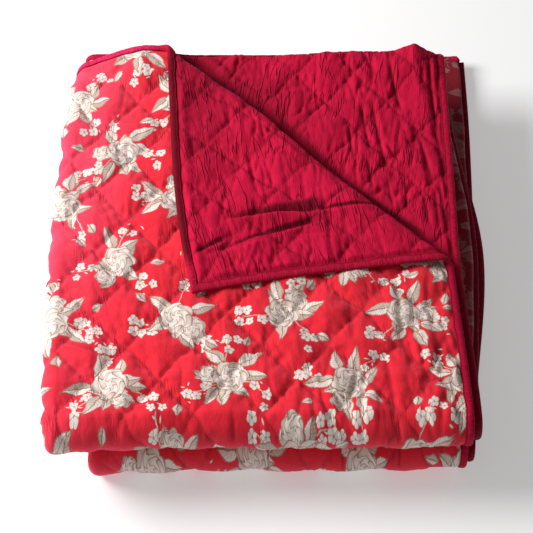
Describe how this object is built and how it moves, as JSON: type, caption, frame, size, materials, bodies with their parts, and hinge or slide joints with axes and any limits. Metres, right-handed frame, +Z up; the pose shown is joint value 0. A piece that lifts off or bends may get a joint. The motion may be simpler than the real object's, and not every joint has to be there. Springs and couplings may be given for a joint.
{
  "type": "folded kantha quilt",
  "caption": "Folded double-bed kantha quilt: rose-printed scarlet cotton outside, plain crimson reverse shown by a turned-back corner, crimson binding on every edge.",
  "frame": {"origin": "middle of the folded pack's footprint, on the surface it rests on", "axes": "+Z up through the layers; +Y from the two front folds to the free back edges, the pack's longest side; +X to the bound right edges, the side folds being at -X"},
  "size_m": [0.593, 0.7076, 0.1469],
  "materials": {
    "printed_cotton": "matt scarlet cotton with a cream rose print",
    "plain_cotton": "matt crimson cotton, quilted and crinkled",
    "binding_cotton": "crimson cotton strip, stitched flat"
  },
  "bodies": {
    "root": {"printed_face": "printed_cotton", "plain_back": "plain_cotton", "edge_binding": "binding_cotton"}
  },
  "joints": []
}
